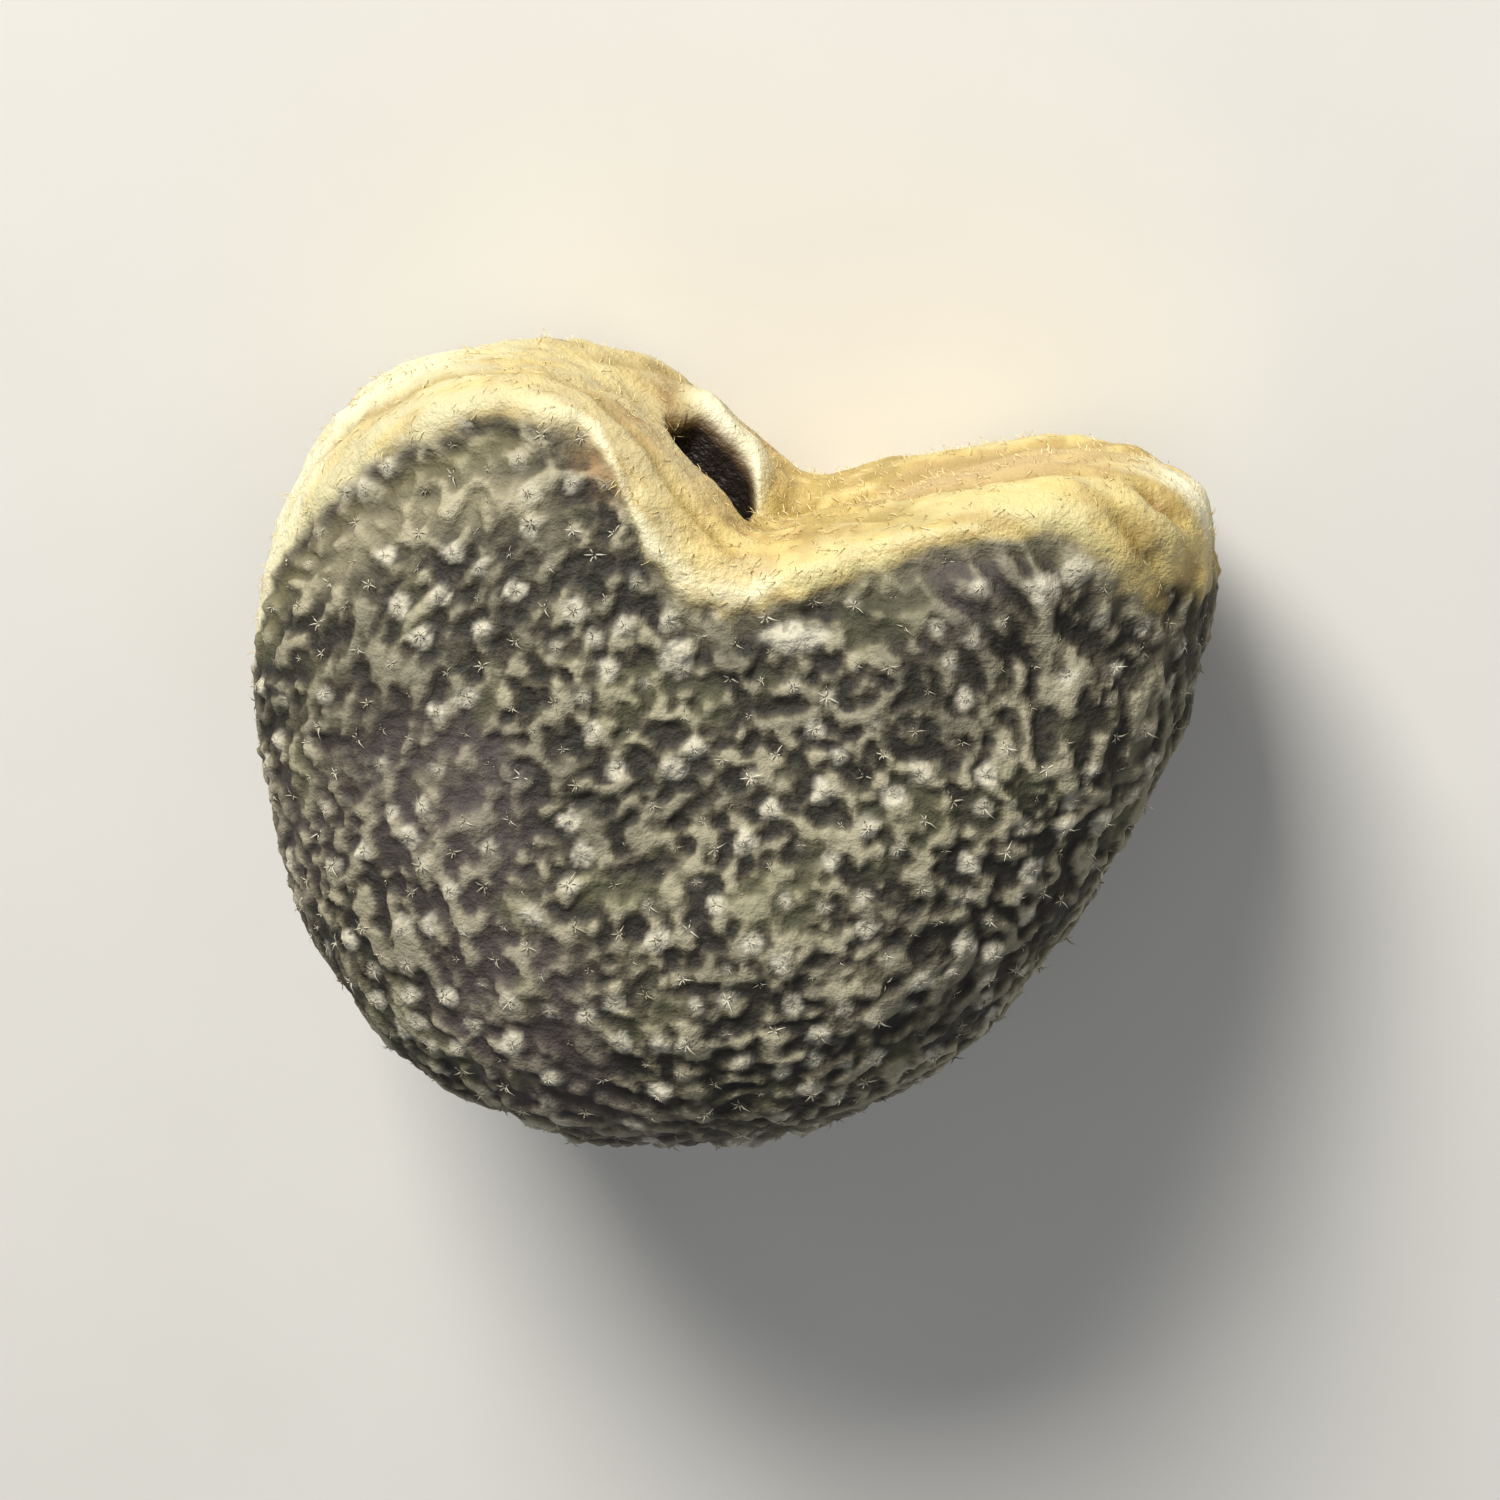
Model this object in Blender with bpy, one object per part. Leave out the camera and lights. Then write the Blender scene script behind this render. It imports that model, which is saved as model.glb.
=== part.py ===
"""One indian mallow seed, lying on its side.

The seed is a thick kidney: two unequal lobes with a notch between them, two side faces that draw
together from the rounded back towards the notch, and a hilum face along both sides of the notch,
where a trough runs between two raised rims.

The seed is first shaped about its own middle plane, with its side faces up and down, its broad lobe
to the left and its notch towards +Y. It is then laid down on its lower side face. The origin is on
the ground under the middle of its box. Sizes are in millimetres until the last step.
"""

import math

import bmesh
import bpy
from mathutils import Matrix, Vector, noise

MM = 0.001  # a millimetre in metres

# Outline seen from the side: angle in degrees from +X, and radius from the middle of the body
OUTLINE = (
    (-85.0, 1.23),  # middle of the back
    (-38.0, 1.13),
    (-10.0, 1.20),
    (8.0, 1.37),
    (22.0, 1.55),  # tip of the narrow lobe, cut off rather square
    (32.0, 1.57),
    (40.0, 1.42),
    (52.0, 1.05),
    (65.0, 0.81),
    (84.0, 0.67),  # bottom of the notch
    (99.0, 0.85),
    (112.0, 1.12),
    (127.0, 1.39),
    (140.0, 1.53),  # top of the broad lobe
    (155.0, 1.53),
    (180.0, 1.47),
    (212.0, 1.45),
    (238.0, 1.37),
)
NOTCH_ANGLE = 84.0  # degrees, the way that the notch opens

# Thickness between the side faces, which draw together evenly from the back to the hilum
BACK_THICKNESS = 1.82
HILUM_THICKNESS = 1.22
BACK_REACH = -1.00  # from the middle towards the notch, where the seed has its back thickness
HILUM_REACH = 1.00  # where it has its hilum thickness
LOBE_TIP_THINNING = 0.12  # share lost at the ends of the lobes
LOBE_TIP_REACH = (0.9, 1.6)  # radii between which the lobes thin
FACE_DIP = 0.06  # depth of the shallow dip in the upper side face
FACE_DIP_RADIUS = 0.55

# How square the edge between a side face and the outline is: 2 is an ellipse
BACK_SQUARENESS = 2.6
HILUM_SQUARENESS = 5.0
HILUM_SPREAD = 42.0  # degrees from the notch over which the edge turns from square to round

# Hilum face: a trough along it, deepest on the broad lobe close to the notch, between two rims
TROUGH_HALF_WIDTH = 0.20
TROUGH_MIDDLE = -0.09  # height of its bottom line: it lies nearer the lower side face
TROUGH_ONSET = (0.45, 0.85)  # the relief sets in between a side face, 0, and the middle plane, 1
TROUGH_DEPTHS = (
    (25.0, 0.00),
    (45.0, 0.03),
    (66.0, 0.05),
    (84.0, 0.11),
    (98.0, 0.22),
    (111.0, 0.14),
    (124.0, 0.03),
    (140.0, 0.00),
)  # angle in degrees, depth
RIM_SWELL = 0.07  # share of the distance from the middle that a rim adds
RIM_LATITUDE = 41.0  # degrees above and below the middle plane, seen from the middle
RIM_SPREAD = 11.0  # degrees
RIM_ENDS = (20.0, 45.0, 122.0, 150.0)  # degrees: the rims rise from the first to the second of these

# Crescent lip across the bottom of the notch, its horns towards the broad lobe
LIP_ANGLE = 80.0
LIP_HEIGHT = 0.06
LIP_HALF_WIDTH = 5.0  # degrees
LIP_SPAN = 0.26  # from the middle plane to a horn
LIP_BEND = 9.0  # degrees that the horns lean over

# Relief of the coat: slow lumps, and granules where the hairs stand
LUMP_HEIGHT = 0.022
LUMP_SIZE = 0.85
GRANULE_HEIGHT = 0.014
GRANULE_SIZE = 0.24
GRANULE_REACH = 0.62  # share of the size at which a granule has died away

# Rest on the ground
LEAN = math.degrees(math.atan2((BACK_THICKNESS - HILUM_THICKNESS) / 2, HILUM_REACH - BACK_REACH))
FLAT_SPOT_DEPTH = 0.022  # height pressed flat at the lowest point

# Mesh: a cube whose faces are cut into this many rows
ROWS = 28

COAT_COLOUR = (0.135, 0.118, 0.083, 1.0)
COAT_ROUGHNESS = 0.72


def clear_scene():
    """Remove whatever the scene starts with."""
    for obj in list(bpy.data.objects):
        bpy.data.objects.remove(obj, do_unlink=True)


def smoothstep(low, high, value):
    """Rise smoothly from 0 at low to 1 at high."""
    t = min(1.0, max(0.0, (value - low) / (high - low)))
    return t * t * (3.0 - 2.0 * t)


def bell(distance, half_width):
    """A bump of height 1 that falls away with distance."""
    return math.exp(-((distance / half_width) ** 2))


def outline_radius(angle):
    """Radius of the outline at an angle in degrees: a closed curve through the points of OUTLINE."""
    count = len(OUTLINE)
    start = OUTLINE[0][0]
    angle = start + (angle - start) % 360.0

    def point(index):
        turns, place = divmod(index, count)
        return OUTLINE[place][0] + 360.0 * turns, OUTLINE[place][1]

    def slope(index):
        (before, low), (after, high) = point(index - 1), point(index + 1)
        return (high - low) / (after - before)

    index = max(i for i in range(count) if OUTLINE[i][0] <= angle)
    (a, radius_a), (b, radius_b) = point(index), point(index + 1)
    t = (angle - a) / (b - a)
    return (
        radius_a * (1 + 2 * t) * (1 - t) ** 2
        + radius_b * t * t * (3 - 2 * t)
        + slope(index) * (b - a) * t * (1 - t) ** 2
        - slope(index + 1) * (b - a) * t * t * (1 - t)
    )


def along_table(table, angle):
    """Value at an angle in degrees of a short table, eased between its rows and flat outside them."""
    if angle <= table[0][0]:
        return table[0][1]
    for (a, value_a), (b, value_b) in zip(table, table[1:]):
        if angle <= b:
            return value_a + (value_b - value_a) * smoothstep(a, b, angle)
    return table[-1][1]


def towards_notch(x, y):
    """How far a point lies from the middle towards the notch."""
    angle = math.radians(NOTCH_ANGLE)
    return x * math.cos(angle) + y * math.sin(angle)


def half_thickness(x, y, upper):
    """Distance from a point of the middle plane to the upper or the lower side face."""
    fall = (towards_notch(x, y) - BACK_REACH) / (HILUM_REACH - BACK_REACH)
    thickness = BACK_THICKNESS + (HILUM_THICKNESS - BACK_THICKNESS) * fall
    thickness *= 1.0 - LOBE_TIP_THINNING * smoothstep(*LOBE_TIP_REACH, math.hypot(x, y)) * fall
    dip = FACE_DIP * bell(math.hypot(x, y), FACE_DIP_RADIUS) if upper else 0.0
    return thickness / 2.0 - dip


def rim_swell(angle, latitude):
    """Share by which a rim of the hilum face pushes the surface out, away from the middle."""
    low, risen, falling, gone = RIM_ENDS
    along = smoothstep(low, risen, angle) * (1.0 - smoothstep(falling, gone, angle))
    return RIM_SWELL * along * bell(latitude - RIM_LATITUDE, RIM_SPREAD)


def hilum_relief(angle, z):
    """How far the trough and the lip stand out from the plain outline, at an angle and a height."""
    trough = -along_table(TROUGH_DEPTHS, angle) * math.exp(-(((z - TROUGH_MIDDLE) / TROUGH_HALF_WIDTH) ** 4))
    lip_angle = LIP_ANGLE + LIP_BEND * (z / LIP_SPAN) ** 2
    lip = LIP_HEIGHT * bell(angle - lip_angle, LIP_HALF_WIDTH) * bell(z, LIP_SPAN)
    return trough + lip


def form_point(direction):
    """Place of the seed's surface in a direction from its middle, before the coat's relief."""
    flat = math.hypot(direction.x, direction.y)
    angle = math.degrees(math.atan2(direction.y, direction.x)) % 360.0
    notch_share = bell((angle - NOTCH_ANGLE + 180.0) % 360.0 - 180.0, HILUM_SPREAD)
    squareness = BACK_SQUARENESS + (HILUM_SQUARENESS - BACK_SQUARENESS) * notch_share
    stretch = (flat**squareness + abs(direction.z) ** squareness) ** (-1.0 / squareness)
    stretch *= 1.0 + rim_swell(angle, math.degrees(math.atan2(abs(direction.z), flat)))

    radius = outline_radius(angle) * flat * stretch
    x = radius * math.cos(math.radians(angle))
    y = radius * math.sin(math.radians(angle))
    z = half_thickness(x, y, direction.z > 0.0) * direction.z * stretch
    radius += hilum_relief(angle, z) * smoothstep(*TROUGH_ONSET, flat)
    return Vector((radius * math.cos(math.radians(angle)), radius * math.sin(math.radians(angle)), z))


def even_direction(corner):
    """Direction of a point of the cut cube, spread so that the rows come out evenly spaced."""
    return Vector([math.tan(math.pi / 4.0 * c) for c in corner]).normalized()


def coat_relief(point):
    """Height of the coat's lumps and granules at a point of the surface."""
    lump = noise.noise(point / LUMP_SIZE) * LUMP_HEIGHT
    nearest = noise.voronoi(point / GRANULE_SIZE)[0][0]
    return lump + GRANULE_HEIGHT * (1.0 - smoothstep(0.0, GRANULE_REACH, nearest))


def shape_body(mesh):
    """Turn the cut cube into the seed, about its own middle plane."""
    for vertex in mesh.verts:
        vertex.co = form_point(even_direction(vertex.co))
    mesh.normal_update()
    raised = [vertex.co + vertex.normal * coat_relief(vertex.co) for vertex in mesh.verts]
    for vertex, place in zip(mesh.verts, raised):
        vertex.co = place


def lay_down(mesh):
    """Lean the seed onto its lower side face, press a small flat spot, and centre it on the ground."""
    lean = Matrix.Rotation(math.radians(-LEAN), 3, "X")
    bmesh.ops.transform(mesh, matrix=lean.to_4x4(), verts=mesh.verts)
    ground = min(vertex.co.z for vertex in mesh.verts) + FLAT_SPOT_DEPTH
    for vertex in mesh.verts:
        vertex.co.z = max(vertex.co.z, ground)
    middle = [(min(v.co[i] for v in mesh.verts) + max(v.co[i] for v in mesh.verts)) / 2 for i in (0, 1)]
    bmesh.ops.translate(mesh, vec=(-middle[0], -middle[1], -ground), verts=mesh.verts)


def seed_mesh():
    """The seed as one closed mesh, in metres."""
    mesh = bmesh.new()
    bmesh.ops.create_cube(mesh, size=2.0)
    bmesh.ops.subdivide_edges(mesh, edges=mesh.edges[:], cuts=ROWS - 1, use_grid_fill=True)
    shape_body(mesh)
    lay_down(mesh)
    bmesh.ops.scale(mesh, vec=(MM, MM, MM), verts=mesh.verts)
    bmesh.ops.triangulate(mesh, faces=mesh.faces[:])
    bmesh.ops.recalc_face_normals(mesh, faces=mesh.faces[:])
    data = bpy.data.meshes.new("seed")
    mesh.to_mesh(data)
    mesh.free()
    data.shade_smooth()
    return data


def coat_material():
    """Dull grey-brown coat."""
    material = bpy.data.materials.new("seed_coat")
    material.use_nodes = True
    shader = material.node_tree.nodes["Principled BSDF"]
    shader.inputs["Base Color"].default_value = COAT_COLOUR
    shader.inputs["Roughness"].default_value = COAT_ROUGHNESS
    shader.inputs["Metallic"].default_value = 0.0
    return material


def main():
    """Build the seed in a collection of its own."""
    clear_scene()
    collection = bpy.data.collections.new("indian_mallow_seed")
    bpy.context.scene.collection.children.link(collection)
    seed = bpy.data.objects.new("seed", seed_mesh())
    seed.data.materials.append(coat_material())
    collection.objects.link(seed)


main()
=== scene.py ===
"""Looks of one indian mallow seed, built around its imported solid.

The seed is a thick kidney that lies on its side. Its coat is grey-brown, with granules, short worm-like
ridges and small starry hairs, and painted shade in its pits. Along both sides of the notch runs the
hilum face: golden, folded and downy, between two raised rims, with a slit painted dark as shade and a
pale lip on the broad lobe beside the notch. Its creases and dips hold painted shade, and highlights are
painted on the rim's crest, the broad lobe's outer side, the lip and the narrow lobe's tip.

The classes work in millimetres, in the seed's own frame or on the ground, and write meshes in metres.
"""

import logging
import math
import random
from dataclasses import dataclass, field
from enum import Enum
from typing import Iterable, Sequence, Union

import bpy
import numpy as np
from mathutils import Matrix, Vector, kdtree, noise
from mathutils.bvhtree import BVHTree


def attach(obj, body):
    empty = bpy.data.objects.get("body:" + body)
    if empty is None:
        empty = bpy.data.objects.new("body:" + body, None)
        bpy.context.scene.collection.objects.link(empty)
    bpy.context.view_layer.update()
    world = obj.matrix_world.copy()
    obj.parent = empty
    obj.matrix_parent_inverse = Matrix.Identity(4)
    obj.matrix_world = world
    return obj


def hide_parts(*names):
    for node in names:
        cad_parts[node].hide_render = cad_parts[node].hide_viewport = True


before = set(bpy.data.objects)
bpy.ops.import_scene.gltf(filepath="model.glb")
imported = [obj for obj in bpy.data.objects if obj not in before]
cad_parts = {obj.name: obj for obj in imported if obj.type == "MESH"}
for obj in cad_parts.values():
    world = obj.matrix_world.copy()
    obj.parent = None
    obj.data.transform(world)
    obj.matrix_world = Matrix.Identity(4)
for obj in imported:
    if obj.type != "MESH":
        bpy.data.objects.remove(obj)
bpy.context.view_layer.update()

LOG = logging.getLogger("seed")
MM = 0.001  # a millimetre in metres
NOISE_SEED = 11  # without one, vector noise is drawn anew in every run
CREST_SLOPE = 2.2  # how steeply a ridge of noise falls from its crest
Colour = tuple[float, float, float, float]
Place = tuple[float, float, float]
Pair = tuple[float, float]
Number = Union[float, "Value"]


def colour(red: int, green: int, blue: int) -> Colour:
    """Turn a screen colour into the linear one that shaders use.

    Args:
        red: Red, 0 to 255.
        green: Green, 0 to 255.
        blue: Blue, 0 to 255.

    Returns:
        The linear colour, opaque.
    """
    def linear(level: int) -> float:
        """Linear value of one channel."""
        share = level / 255
        return share / 12.92 if share <= 0.04045 else ((share + 0.055) / 1.055) ** 2.4

    return linear(red), linear(green), linear(blue), 1.0


def smooth(low: float, high: float, value: float) -> float:
    """Rise smoothly from 0 at low to 1 at high.

    Args:
        low: Where the rise starts.
        high: Where it ends; below low for a fall.
        value: Where it is read.

    Returns:
        A share from 0 to 1.
    """
    share = min(1.0, max(0.0, (value - low) / (high - low)))
    return share * share * (3 - 2 * share)


def bell(distance: float, half_width: float) -> float:
    """A bump of height 1 that falls away with distance."""
    return math.exp(-((distance / half_width) ** 2))


def ridged(place: Vector) -> float:
    """Noise with sharp crests, 0 to 1, whose crests lie about 1 apart."""
    return 1.0 - min(1.0, abs(noise.noise(place)) * CREST_SLOPE)


def deselect_all() -> None:
    """Leave edit mode and deselect every object, the CAD nodes too."""
    if bpy.context.object and bpy.context.object.mode != "OBJECT":
        bpy.ops.object.mode_set(mode="OBJECT")
    bpy.ops.object.select_all(action="DESELECT")


def write_attribute(mesh: bpy.types.Mesh, name: str, values: Iterable[float]) -> None:
    """Keep one number for each vertex, for the mesh's material to read.

    Args:
        mesh: The mesh that gets them.
        name: The attribute's name.
        values: A number for each vertex, in order.
    """
    layer = mesh.attributes.new(name, "FLOAT", "POINT")
    layer.data.foreach_set("value", np.fromiter(values, np.float32))


@dataclass(frozen=True)
class Spot:
    """A place on the seed, as its hilum forms are laid out by.

    Angle runs round the outline in degrees, with the notch at 84; latitude is 0 on the middle plane,
    45 at the upper edge of the flank and -45 at the lower one; height is over the middle plane, in mm.
    """

    angle: float
    latitude: float
    height: float
    radius: float
    point: Vector


@dataclass
class SeedFrame:
    """The seed's own frame: how it lies on the ground, and its outline. Sizes in mm."""

    middle: Place = (0.0281, 0.0641, 0.7436)  # where the middle of the body lies over the ground
    back_thickness: float = 1.82
    hilum_thickness: float = 1.22
    reach: float = 1.0  # from the middle to where each thickness is taken
    notch_angle: float = 84.0
    bins: int = 120  # parts that the outline is read in
    outline: list[float] = field(init=False)

    def __post_init__(self) -> None:
        """Work out the turn onto the ground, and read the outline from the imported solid."""
        lean = math.atan2((self.back_thickness - self.hilum_thickness) / 2, 2 * self.reach)
        self.to_own = Matrix.Rotation(lean, 3, "X")
        self.to_ground = self.to_own.transposed()
        notch = math.radians(self.notch_angle)
        self.notch = Vector((math.cos(notch), math.sin(notch)))
        widest = [0.0] * self.bins
        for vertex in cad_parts["seed"].data.vertices:
            own = self.own(vertex.co / MM)
            place = int(math.degrees(math.atan2(own.y, own.x)) % 360 / 360 * self.bins)
            widest[place] = max(widest[place], math.hypot(own.x, own.y))
        self.outline = [
            (widest[i - 1] + 2 * widest[i] + widest[(i + 1) % self.bins]) / 4 for i in range(self.bins)
        ]

    def own(self, ground: Vector) -> Vector:
        """A point on the ground's axes, in the seed's own frame."""
        return self.to_own @ (ground - Vector(self.middle))

    def outline_radius(self, angle: float) -> float:
        """Read the outline.

        Args:
            angle: Degrees round it.

        Returns:
            The radius there.
        """
        place = angle % 360 / 360 * self.bins - 0.5
        low = math.floor(place)
        share = place - low
        return self.outline[low % self.bins] * (1 - share) + self.outline[(low + 1) % self.bins] * share

    def spot(self, ground: Vector) -> Spot:
        """Lay a point out by angle and latitude.

        Args:
            ground: A point of the seed, in millimetres on the ground's axes.

        Returns:
            Its spot.
        """
        own = self.own(ground)
        radius = math.hypot(own.x, own.y)
        angle = math.degrees(math.atan2(own.y, own.x)) % 360
        fall = (own.xy.dot(self.notch) + self.reach) / (2 * self.reach)
        thickness = self.back_thickness + (self.hilum_thickness - self.back_thickness) * fall
        latitude = math.degrees(math.atan2(own.z / (thickness / 2), radius / self.outline_radius(angle)))
        return Spot(angle, latitude, own.z, radius, own)


@dataclass(frozen=True)
class Waver:
    """Unevenness whose lumps are about a size across, in mm, and as high or deep as its height."""

    size: float
    height: float = 1.0
    shift: Place = (0.0, 0.0, 0.0)  # moves the pattern

    def at(self, point: Vector) -> float:
        """The waver at a point."""
        return self.height * noise.noise(point / self.size + Vector(self.shift))


@dataclass(frozen=True)
class Stretch:
    """A stretch of the hilum face: where a share rises and falls along it, and fades sideways."""

    rise: Pair  # angles
    fall: Pair  # angles, the farther one first
    sides: Pair  # latitudes either side of the middle plane; the second has the full share
    most: float = 1.0

    def share(self, spot: Spot, waver: float = 0.0) -> float:
        """The share at a spot, with the sides moved by a waver in degrees."""
        along = self.most * smooth(*self.rise, spot.angle) * smooth(*self.fall, spot.angle)
        return along * smooth(*self.sides, abs(spot.latitude) + waver)


@dataclass(frozen=True)
class Patch:
    """A soft round patch of the hilum face, by its middle and its half sizes in degrees."""

    angle: float
    half_angle: float
    latitude: float
    half_latitude: float
    most: float = 1.0

    def share(self, spot: Spot) -> float:
        """The share at a spot."""
        along = self.most * bell(spot.angle - self.angle, self.half_angle)
        return along * bell(spot.latitude - self.latitude, self.half_latitude)


@dataclass(frozen=True)
class Crease:
    """A furrow of the hilum face, alike on its upper and its lower side."""

    line: tuple[Pair, ...]  # angle and latitude of its points, in degrees
    half_width: float  # degrees of latitude
    depth: float  # mm
    ends: float = 4.0  # degrees over which it fades out
    # painted shade at the furrow's bottom, from 0 to 1
    bottom_shade: float = 0.6  # how dark its bottom is, from 0 to 1
    waver: Waver = Waver(0.15, 1.2)

    def share(self, spot: Spot) -> float:
        """How deep in the furrow a spot is, from 0 to 1.

        Args:
            spot: Where it is read.

        Returns:
            The share.
        """
        angles, latitudes = zip(*self.line)
        if not angles[0] - self.ends < spot.angle < angles[-1] + self.ends:
            return 0.0
        along = smooth(angles[0] - self.ends, angles[0] + self.ends, spot.angle)
        along *= smooth(angles[-1] + self.ends, angles[-1] - self.ends, spot.angle)
        course = float(np.interp(spot.angle, angles, latitudes)) + self.waver.at(spot.point)
        return along * bell(abs(spot.latitude) - course, self.half_width)


@dataclass
class HilumForms:
    """The golden hilum face: rims, folds, creases, slit and lip. Angles in degrees, sizes in mm."""

    start: Pair = (19.0, 25.0)  # the golden face sets in on the narrow lobe
    end: Pair = (194.0, 178.0)  # and fades on the broad one
    end_wavers: tuple[Waver, ...] = (Waver(0.16, 3.0), Waver(0.06, 3.0))
    end_gain: float = 2.0  # how much more the end wavers than the start
    edge_line: tuple[Pair, ...] = (
        (19.0, 26.5), (23.0, 36.5), (27.0, 40.5), (32.0, 42.5), (36.0, 41.5), (39.0, 43.2), (43.0, 46.8),
        (51.0, 50.3), (60.0, 50.5), (71.0, 51.3), (86.0, 53.0), (95.0, 56.0), (102.0, 57.0),
        (107.5, 55.0), (109.5, 49.0), (111.0, 46.0), (114.0, 43.6), (119.0, 43.0), (126.0, 43.2),
        (134.0, 41.5), (144.0, 37.0), (153.0, 31.0), (162.0, 25.0), (170.0, 19.5), (177.0, 14.0),
        (184.0, 7.0), (189.0, 3.0),
    )  # angle, and the latitude at which the golden face ends
    edge_wavers: tuple[Waver, ...] = (Waver(0.2, 1.4), Waver(0.06, 1.6))
    edge_blur: float = 1.5
    swell_line: tuple[Pair, ...] = (
        (0.0, 0.0), (9.0, -0.025), (17.0, -0.045), (24.0, -0.045), (30.0, -0.012), (36.0, 0.0),
        (135.0, 0.0), (150.0, 0.014), (175.0, 0.014), (195.0, 0.0),
    )  # angle, and how far the outline swells out over the solid, or in below 0
    swell_sides: Pair = (72.0, 50.0)  # latitudes over which it sets in

    rim_inward: float = 3.2  # from the edge to the rim's crest
    rim_height: float = 0.022
    rim_lag: float = 6.0  # how much later than the gold the rim has risen
    rim_fall: Pair = (170.0, 146.0)
    rim_mean: float = 0.75
    rim_waver: Waver = Waver(0.2, 0.8)
    groove_offset: float = 4.5  # from the edge out to the groove in the coat
    groove_half_width: float = 2.2
    groove_depth: float = 0.014
    creases: tuple[Crease, ...] = (
        Crease(((41.0, 25.0), (50.0, 24.5), (62.0, 22.0)), 2.6, 0.018, 4.0, 0.5),
        Crease(((40.0, 46.0), (50.0, 44.0), (60.0, 42.0)), 1.5, 0.008, 5.0, 0.35),
        Crease(((27.0, 33.5), (30.2, 35.8), (33.2, 36.8), (36.0, 37.2)), 1.7, 0.038, 2.0, 0.75),
        Crease(((30.5, 24.0), (33.5, 26.0), (36.5, 24.5)), 2.6, 0.050, 2.0, 1.0),
        Crease(((87.0, 44.0), (100.0, 41.0), (110.0, 33.0), (118.0, 27.0)), 1.7, 0.014),
        Crease(((120.0, 31.0), (135.0, 30.0), (150.0, 20.0)), 1.6, 0.010),
    )
    dips: tuple[Pair, ...] = (
        (83.0, 12.0), (84.0, -8.0), (82.0, -24.0), (70.0, 24.0), (60.0, 37.0), (73.0, 26.0),
    )  # small pits at the bottom of the notch
    dip_half_width: float = 4.6
    dip_depth: float = 0.022
    dip_waver: Waver = Waver(0.09, 9.0)
    fold_height: float = 0.018
    fold_length: float = 0.50
    fold_width: float = 0.12
    fold_level: float = 0.3  # of the pattern that the folds are cut from
    fold_waver: Waver = Waver(0.2, 0.5)
    fold_onset: Pair = (2.0, 8.0)  # degrees inward from the edge
    lump_wavers: tuple[Waver, ...] = (Waver(0.15, 0.012), Waver(0.06, 0.0048))

    slit_span: tuple[tuple[float, float, float], ...] = (
        (87.0, 0.24, 0.27), (88.5, 0.06, 0.28), (90.0, -0.10, 0.29), (93.0, -0.23, 0.275),
        (96.0, -0.28, 0.25), (99.0, -0.295, 0.23), (104.0, -0.295, 0.18), (106.0, -0.27, 0.07),
        (108.0, -0.23, -0.08), (109.5, -0.20, -0.17),
    )  # angle, and the heights of its far and its near edge
    slit_depth: float = 0.15
    far_wall: Pair = (-0.03, 0.05)  # from each edge to where its wall starts and ends
    near_wall: Pair = (0.02, -0.03)
    slit_angle_waver: Waver = Waver(0.09, 0.9)
    slit_height_waver: Waver = Waver(0.09, 0.012, (4.0, 2.0, 9.0))
    lip_line: tuple[Pair, ...] = ((92.0, -0.30), (99.0, -0.32), (105.0, -0.33))
    lip_height: float = 0.05
    lip_half_width: float = 0.075
    lip_fade: float = 3.0

    rust_and_shade_patches: tuple[Patch, ...] = (
        Patch(107.0, 2.6, 30.0, 6.0),  # shoulder of the broad lobe
        # painted shade on the far wall of the slit's upper end
        Patch(108.7, 1.8, -25.0, 9.0, 0.9),  # behind the slit
        Patch(33.5, 2.2, 26.0, 3.2, 0.9),  # narrow lobe's end
        Patch(112.0, 3.5, 48.0, 3.2),  # coat along the rim
    )
    peaches: tuple[Stretch, ...] = (
        Stretch((38.0, 46.0), (66.0, 56.0), (29.0, 24.0)),
        Stretch((88.0, 96.0), (118.0, 108.0), (46.0, 38.0), 0.5),
    )
    ochre: Stretch = Stretch((58.0, 66.0), (94.0, 84.0), (44.0, 38.0), 0.6)
    ochre_waver: Waver = Waver(0.10)
    ochre_step: Pair = (-0.12, 0.15)
    yellows: tuple[Stretch, ...] = (
        Stretch((34.0, 40.0), (72.0, 62.0), (27.0, 31.0)),
        Stretch((24.0, 29.0), (42.0, 37.0), (22.0, 30.0), 0.7),
    )
    yellow_waver: Waver = Waver(0.12, 3.0)
    streak_length: float = 8.0  # degrees along the face, and across it
    streak_width: float = 2.0
    streak_level: float = 0.5  # of the pattern that the streaks are cut from
    streak_waver: Waver = Waver(0.05, 0.3)
    streak_step: Pair = (0.02, -0.32)
    tip_angle: float = 32.0
    cream_lobe: Pair = (114.0, 128.0)
    cream_shoulder: Pair = (92.0, 102.0)
    cream_shoulder_most: float = 0.55
    cream_tip: float = 6.0  # half width
    cream_tip_sides: Pair = (22.0, 15.0)
    # Painted highlight along the rim's crest round the notch, on the broad lobe's outer side and at the
    # narrow lobe's tip.
    crest: Stretch = Stretch((68.0, 78.0), (122.0, 112.0), (90.0, 89.0), 0.55)
    crest_inward: float = 2.6
    crest_half_width: float = 2.4
    outer: Stretch = Stretch((124.0, 136.0), (220.0, 210.0), (30.0, 20.0), 0.7)
    bright_tip: float = 4.5  # half width
    bright_tip_sides: Pair = (21.0, 14.0)
    bright_mean: float = 0.85
    bright_waver: Waver = Waver(0.09, 0.5)
    broad_rise: Pair = (118.0, 126.0)  # the coat's two pale and dark bands along the broad lobe's rim
    ring_fall: Pair = (176.0, 164.0)
    band_fall: Pair = (166.0, 156.0)
    band_offset: float = 10.0
    band_half_width: float = 3.2
    fringe_fall: Pair = (122.0, 114.0)
    fringe_offset: float = 1.5
    fringe_half_width: float = 2.6
    fringe_most: float = 0.6

    def edge(self, spot: Spot) -> float:
        """Latitude at which the golden face ends, a little uneven."""
        plain = float(np.interp(spot.angle, *zip(*self.edge_line)))
        return plain + sum(waver.at(spot.point) for waver in self.edge_wavers)

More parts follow.
